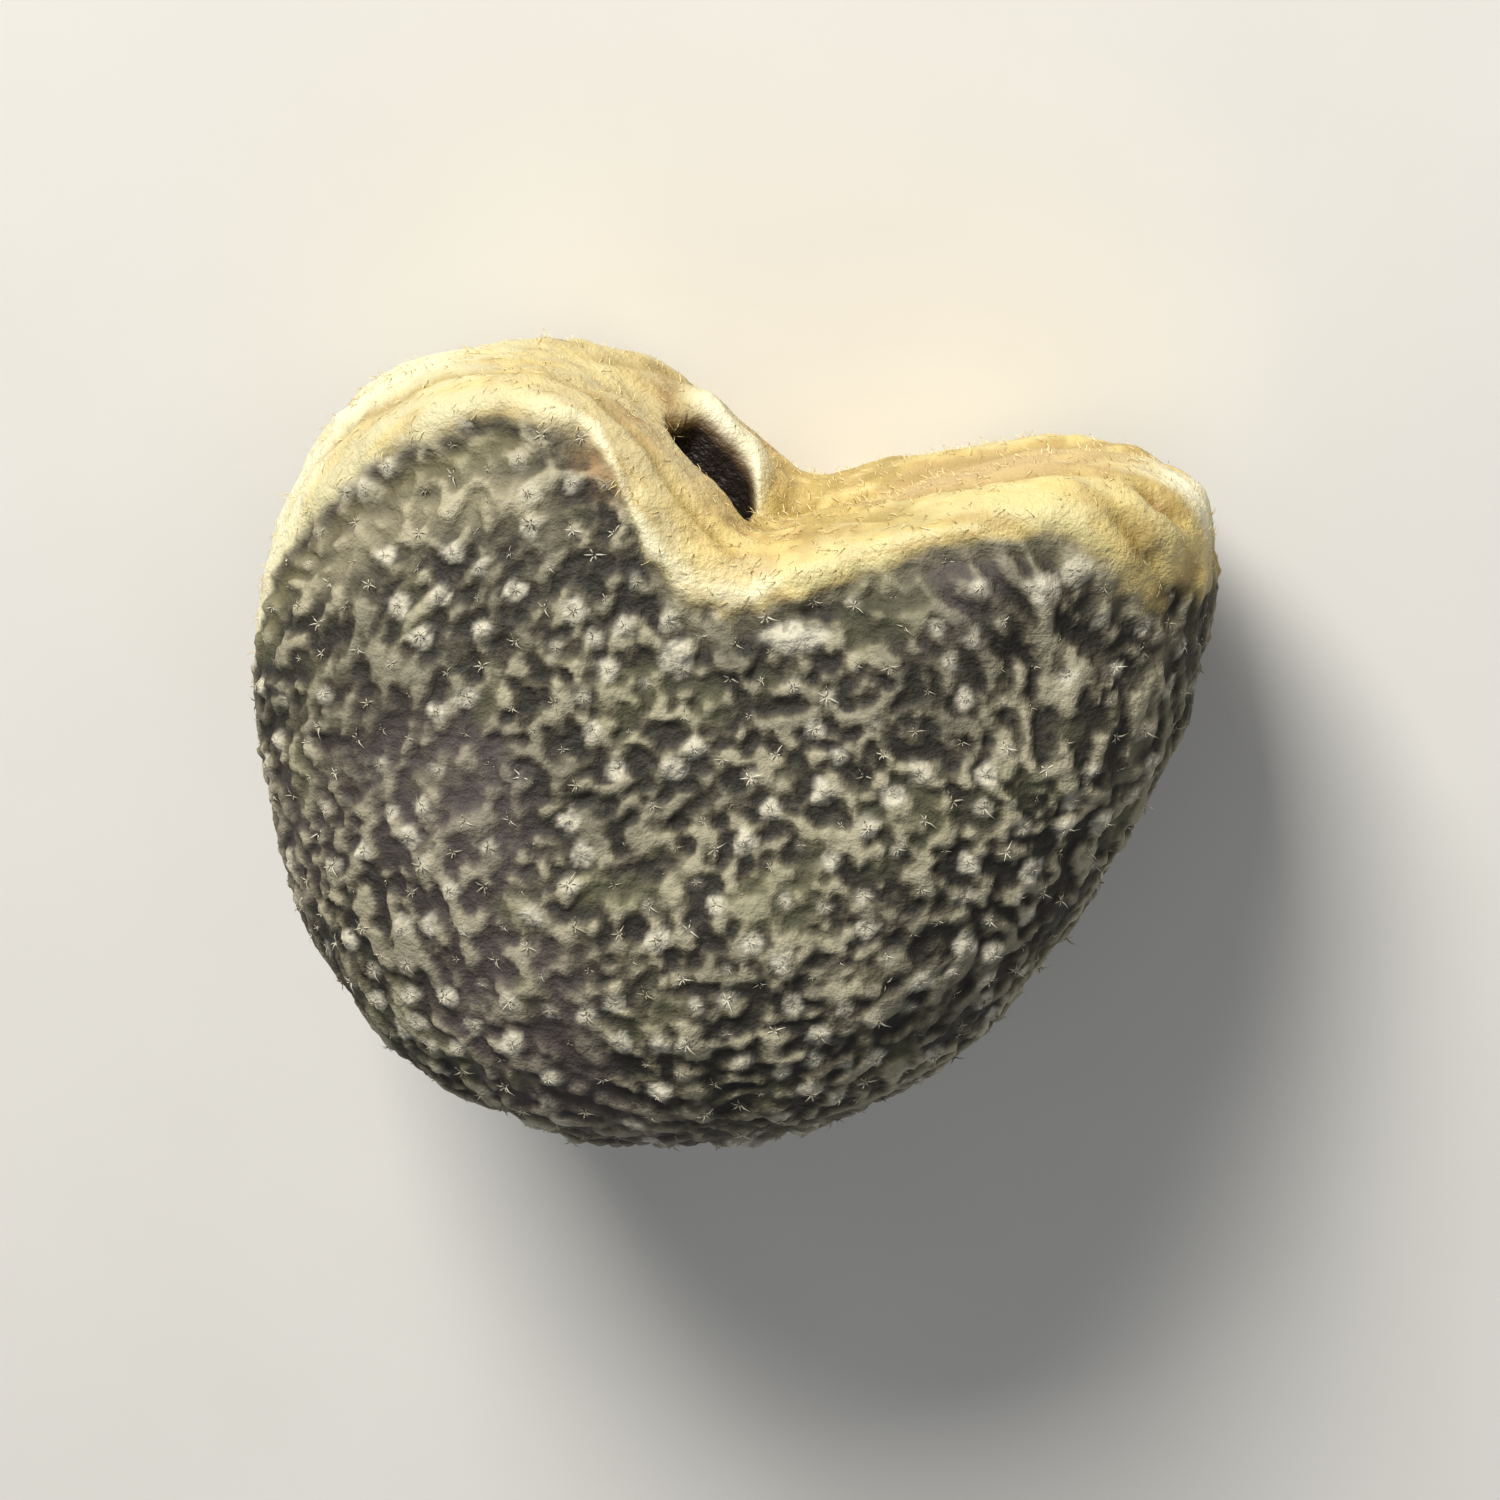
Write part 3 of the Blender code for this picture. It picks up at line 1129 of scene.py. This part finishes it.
@dataclass
class SeedCoat:
    """The seed's skin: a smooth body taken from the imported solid, with all its relief. Sizes in mm."""

    seed_frame: SeedFrame
    hilum: HilumForms
    coat: CoatForms
    rows: tuple[int, int, int] = (39, 35, 23)  # rows of the coarse body along X, Y and Z
    levels: int = 2  # times that the coarse body is made finer
    ray_stretch: Place = (1.42, 1.28, 0.84)  # the body's half sizes, which spread the rows evenly
    star_gap: float = 0.16  # between neighbouring stars, about
    star_spread: float = 0.5  # share of the gap that varies from star to star
    seed: int = 7  # of the random draws
    foot_waver: Waver = Waver(0.03, 0.016)  # of the distance from a star's foot
    mark_gain: float = 1.2
    golden_calm: float = 0.85  # share of the coat's relief that the golden face loses
    speck_step: Pair = (0.12, 0.5)
    # heights of the hilum's forms over which the painted highlight rises
    raised_step: Pair = (0.002, 0.022)
    yellow_most: float = 0.85
    cream_streak: float = 0.6  # how much of the cream, and of the raised gold, a streak takes away
    raised_streak: float = 0.75
    bare_height: float = 0.02  # over the ground, below which no hair stands
    star_size: Pair = (0.022, 0.026)  # the shortest, and what chance adds
    star_limit: float = 0.25  # how golden the coat may be under a star
    down_tries: int = 11000
    down_most: float = 0.8
    down_size: Pair = (0.024, 0.030)
    down_slant: float = 0.6  # how far the down leans away from the middle plane
    slit_gain: float = 3.0
    slit_clearing: Pair = (0.3, 0.02)
    tilt: float = 0.35
    jitter: float = 0.8
    rooted: float = 0.08  # share of a hair's length that is in the skin
    stars: list[Stand] = field(default_factory=list)
    down: list[Stand] = field(default_factory=list)

    def build(self) -> bpy.types.Object:
        """Model the coat.

        Returns:
            The piece.
        """
        piece = self.cast_body()
        self.refine(piece)
        sites = self.star_sites(piece.data)
        self.raise_relief(piece.data, sites)
        self.find_stands(piece.data, sites)
        return piece

    def cast_body(self) -> bpy.types.Object:
        """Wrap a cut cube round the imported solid.

        Returns:
            The coarse body, a mesh of four-sided faces.
        """
        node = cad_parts["seed"]
        points = [vertex.co / MM for vertex in node.data.vertices]
        solid = BVHTree.FromPolygons(points, [tuple(face.vertices) for face in node.data.polygons])
        deselect_all()
        bpy.ops.mesh.primitive_cube_add(size=2.0)
        piece = bpy.context.object
        for axis, rows in enumerate(self.rows):
            self.cut_rows(piece, axis, rows)
        piece.name = piece.data.name = "seed_coat"
        middle = Vector(self.seed_frame.middle)
        for vertex in piece.data.vertices:
            even = [math.tan(math.pi / 4 * c) * s for c, s in zip(vertex.co, self.ray_stretch)]
            ray = self.seed_frame.to_ground @ Vector(even).normalized()
            vertex.co = solid.ray_cast(middle, ray)[0]
        return piece

    def cut_rows(self, piece: bpy.types.Object, axis: int, rows: int) -> None:
        """Cut the cube's edges along one axis into rows.

        Args:
            piece: The cube.
            axis: 0 for X, 1 for Y, 2 for Z.
            rows: How many rows.
        """
        bpy.ops.object.mode_set(mode="EDIT")
        bpy.ops.mesh.select_mode(type="EDGE")
        bpy.ops.mesh.select_all(action="DESELECT")
        bpy.ops.object.mode_set(mode="OBJECT")
        for edge in piece.data.edges:
            ends = [piece.data.vertices[i].co for i in edge.vertices]
            edge.select = abs(ends[0][axis] - ends[1][axis]) > 1.0
        bpy.ops.object.mode_set(mode="EDIT")
        bpy.ops.mesh.subdivide(number_cuts=rows - 1)
        bpy.ops.object.mode_set(mode="OBJECT")

    def refine(self, piece: bpy.types.Object) -> None:
        """Round the coarse body into a fine, smooth one.

        Args:
            piece: The coarse body.
        """
        bpy.context.view_layer.objects.active = piece
        piece.select_set(True)
        smoother = piece.modifiers.new("finer", "SUBSURF")
        smoother.levels = smoother.render_levels = self.levels
        bpy.ops.object.modifier_apply(modifier=smoother.name)
        piece.data.shade_smooth()

    def star_sites(self, mesh: bpy.types.Mesh) -> list[int]:
        """Choose the points where stars stand, none too close to another.

        Args:
            mesh: The fine, smooth body.

        Returns:
            The numbers of the chosen vertices.
        """
        draw = random.Random(self.seed)
        order = list(range(len(mesh.vertices)))
        draw.shuffle(order)
        sites: list[int] = []
        cells: dict[tuple[int, int, int], list[Vector]] = {}
        reach = self.star_gap * (1 + self.star_spread)
        for index in order:
            point = mesh.vertices[index].co
            gap = self.star_gap * draw.uniform(1 - self.star_spread, 1 + self.star_spread)
            cell = tuple(math.floor(c / reach) for c in point)
            near = (
                other
                for dx in (-1, 0, 1) for dy in (-1, 0, 1) for dz in (-1, 0, 1)
                for other in cells.get((cell[0] + dx, cell[1] + dy, cell[2] + dz), ())
            )
            if all((other - point).length > gap for other in near):
                cells.setdefault(cell, []).append(point.copy())
                sites.append(index)
        return sites

    def raise_relief(self, mesh: bpy.types.Mesh, sites: list[int]) -> None:
        """Move the body's points by its relief, and keep what the finish needs.

        Args:
            mesh: The fine, smooth body, in millimetres; it ends in metres.
            sites: The vertices where stars stand.
        """
        tree = kdtree.KDTree(len(sites))
        for place, index in enumerate(sites):
            tree.insert(mesh.vertices[index].co, place)
        tree.balance()
        draw = random.Random(self.seed + 2)
        weights = [draw.random() ** 2 for _ in sites]
        layers: dict[str, list[float]] = {}
        moved = []
        for vertex in mesh.vertices:
            spot = self.seed_frame.spot(vertex.co)
            edge = self.hilum.edge(spot)
            golden = self.hilum.share(spot, edge)
            granules = self.coat.granules(spot)
            grains = self.coat.grains(spot.point)
            _, place, distance = tree.find(vertex.co)
            distance += self.foot_waver.at(vertex.co)
            tubercle = weights[place] * bell(distance, self.coat.tubercle_radius)
            tubercle = max(tubercle, self.mark_gain * self.coat.mark_share(spot)) * (1 - golden)
            forms = self.hilum.relief(spot, golden, edge)
            plain = self.coat.relief(spot, granules, grains, tubercle)
            height = forms + plain * (1 - self.golden_calm * golden)
            point = vertex.co + vertex.normal * height
            point.z = max(point.z, 0.0)
            moved.append(point * MM)
            shares = {
                "granules": granules,
                "grains": grains,
                "golden": golden,
                "speck": smooth(*self.speck_step, tubercle),
                **self.tints_and_painted_light(spot, edge - abs(spot.latitude), forms),
            }
            for name, value in shares.items():
                layers.setdefault(name, []).append(value)
        mesh.vertices.foreach_set("co", np.array(moved, np.float32).ravel())
        for name, values in layers.items():
            write_attribute(mesh, name, values)
        mesh.update()

    def tints_and_painted_light(self, spot: Spot, inward: float, forms: float) -> dict[str, float]:
        """What colours the hilum face at a spot, its painted highlights and painted shade among them.

        Args:
            spot: Where it is read.
            inward: Degrees from the edge of the golden face.
            forms: Height of the hilum's forms, in millimetres.

        Returns:
            A share from 0 to 1 for each attribute that the finish reads.
        """
        hilum = self.hilum
        streak = hilum.streak_share(spot)
        # paler gold on the raised forms is painted highlight; the yellow stretches are the narrow lobe's
        # own colour
        raised = max(smooth(*self.raised_step, forms), self.yellow_most * hilum.yellow_share(spot))
        return {
            "cream": hilum.cream_share(spot) * (1 - self.cream_streak * streak),
            # painted highlight
            "bright": hilum.painted_highlight_share(spot, inward),
            "raised": raised * (1 - self.raised_streak * streak),
            # painted shade in the creases
            "crevice": hilum.crease_shade_share(spot),
            # rust, and painted shade behind the slit
            "rust": hilum.rust_and_shade_share(spot),
            # where the finish paints shade in the slit
            "slit": hilum.slit_share(spot),
            "peach": hilum.peach_share(spot),
            # ochre patches, and painted shade in the dips
            "ochre": hilum.ochre_and_shade_share(spot),
            "ring": hilum.ring_share(spot, inward),
            "fringe": hilum.fringe_share(spot, inward),
        }

    def find_stands(self, mesh: bpy.types.Mesh, sites: list[int]) -> None:
        """Note where the stars stand on the coat, and the down on the hilum face.

        Args:
            mesh: The finished skin.
            sites: The vertices where stars may stand.
        """
        draw = random.Random(self.seed + 1)
        golden = np.zeros(len(mesh.vertices), np.float32)
        mesh.attributes["golden"].data.foreach_get("value", golden)
        for index in sites:
            vertex = mesh.vertices[index]
            if vertex.co.z > self.bare_height * MM and golden[index] < self.star_limit:
                size = self.star_size[0] + self.star_size[1] * draw.random() ** 1.5
                self.stars.append(self.stand(vertex, draw, size, Vector((1, 0, 0))))
        for index in draw.sample(range(len(mesh.vertices)), self.down_tries):
            vertex = mesh.vertices[index]
            spot = self.seed_frame.spot(vertex.co / MM)
            near_slit = max(self.slit_gain * self.hilum.slit_share(spot), self.hilum.lip_share(spot))
            wanted = golden[index] * smooth(*self.slit_clearing, near_slit)
            if draw.random() < wanted * self.down_most and vertex.co.z > self.bare_height * MM:
                side = math.copysign(self.down_slant, spot.height)
                away = self.seed_frame.to_ground @ Vector((-spot.point.y, spot.point.x, side))
                size = self.down_size[0] + self.down_size[1] * draw.random()
                self.down.append(self.stand(vertex, draw, size, away))

    def stand(self, vertex: bpy.types.MeshVertex, draw: random.Random, size: float, along: Vector) -> Stand:
        """Where one hair stands.

        Args:
            vertex: The skin's vertex at its foot.
            draw: The random draws.
            size: The hair's length in millimetres.
            along: The way that it leans, before chance turns it.

        Returns:
            The stand.
        """
        tilt = Vector([draw.uniform(-self.tilt, self.tilt) for _ in range(3)])
        outward = (vertex.normal + tilt).normalized()
        jitter = Vector([draw.uniform(-self.jitter, self.jitter) for _ in range(3)])
        lean = (along.normalized() + jitter).cross(outward)
        foot = vertex.co / MM - outward * size * self.rooted
        return Stand(foot, outward, lean.cross(-outward), size, draw.random())


@dataclass(frozen=True)
class Lamp:
    """A soft square light that faces the seed. Sizes in mm."""

    name: str
    place: Place
    size: float
    power: float  # watts, small because it is so near
    tint: Colour


@dataclass
class Studio:
    """Pale floor, soft lights, and the camera at the photograph's viewing angle. Sizes in mm."""

    view: Place = (0.165, 0.377, 0.911)
    aim: Place = (0.042, 0.015, 0.796)
    lens: float = 135.0
    frame_width: float = 4.5  # what the picture takes in at the seed
    sensor: float = 36.0
    nearest: float = 1.0  # that the camera sees
    floor_half: float = 600.0
    floor_colours: tuple[Colour, Colour] = (colour(224, 222, 216), colour(234, 232, 227))
    floor_grain: float = 1.2
    floor_roughness: float = 0.8
    lamps: tuple[Lamp, ...] = (
        Lamp("key", (-12.0, 36.0, 23.0), 18.0, 0.0298, colour(255, 252, 246)),
        Lamp("fill", (20.0, -24.0, 34.0), 30.0, 0.0022, colour(240, 244, 255)),
    )
    air_colour: Colour = colour(236, 238, 240)
    air_strength: float = 0.235

    def build(self) -> None:
        """Make the floor, the camera, the lights and the world."""
        self.add_floor()
        self.add_camera()
        for lamp in self.lamps:
            self.add_lamp(lamp)
        world = bpy.data.worlds.new("studio")
        world.use_nodes = True
        air = world.node_tree.nodes["Background"].inputs
        air["Color"].default_value = self.air_colour
        air["Strength"].default_value = self.air_strength
        bpy.context.scene.world = world
        bpy.context.scene.view_settings.view_transform = "Standard"

    def add_floor(self) -> None:
        """Lay a large pale floor."""
        deselect_all()
        bpy.ops.mesh.primitive_plane_add(size=2 * self.floor_half * MM)
        floor = bpy.context.object
        floor.name = "floor"
        shader = Shader("pale_paper")
        grain = shader.grain(shader.millimetres(), self.floor_grain)
        shade = shader.blend(grain, *self.floor_colours)
        floor.data.materials.append(shader.finish(Base_Color=shade, Roughness=self.floor_roughness))

    def add_camera(self) -> None:
        """Set the camera."""
        back = Vector(self.view).normalized()
        right = Vector((0, 1, 0)).cross(back).normalized()
        place = Matrix((right, back.cross(right), back)).transposed().to_4x4()
        distance = self.frame_width * self.lens / self.sensor
        place.translation = (Vector(self.aim) + back * distance) * MM
        camera = bpy.data.objects.new("camera", bpy.data.cameras.new("camera"))
        camera.data.lens = self.lens
        camera.data.sensor_width = self.sensor
        camera.data.clip_start = self.nearest * MM
        camera.data.clip_end = 4 * self.floor_half * MM
        camera.matrix_world = place
        bpy.context.scene.collection.objects.link(camera)
        bpy.context.scene.camera = camera

    def add_lamp(self, lamp: Lamp) -> None:
        """Add a light.

        Args:
            lamp: Its place, size, power and tint.
        """
        light = bpy.data.objects.new(lamp.name, bpy.data.lights.new(lamp.name, "AREA"))
        light.data.shape = "SQUARE"
        light.data.size = lamp.size * MM
        light.data.energy = lamp.power
        light.data.color = lamp.tint[:3]
        way = Vector(lamp.place) - Vector(self.aim)
        light.matrix_world = Matrix.LocRotScale(Vector(lamp.place) * MM, way.to_track_quat("Z", "Y"), None)
        bpy.context.scene.collection.objects.link(light)


def dress(piece: bpy.types.Object, material: bpy.types.Material) -> None:
    """Give a piece its finish, and let it ride on the seed's body.

    Args:
        piece: The piece.
        material: Its material.
    """
    piece.data.materials.clear()
    piece.data.materials.append(material)
    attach(piece, "root")
    LOG.info("%s: %d faces", piece.name, len(piece.data.polygons))


def main() -> None:
    """Build the seed's pieces in order, and the studio round them."""
    logging.basicConfig(level=logging.INFO, format="%(name)s: %(message)s")
    noise.seed_set(NOISE_SEED)
    coat = SeedCoat(SeedFrame(), HilumForms(), CoatForms())
    skin = coat.build()
    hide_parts("seed")
    dress(skin, CoatFinish().make())
    hairs = HairMaker()
    stars = hairs.set_out("star_hairs", Hair.STAR, coat.stars)
    dress(stars, HairFinish("pale_hair", colour(150, 143, 120), colour(222, 216, 194)).make())
    down = hairs.set_out("hilum_down", Hair.DOWN, coat.down)
    dress(down, HairFinish("golden_hair", colour(214, 184, 116), colour(250, 236, 184)).make())
    Studio().build()


if __name__ == "__main__":
    main()
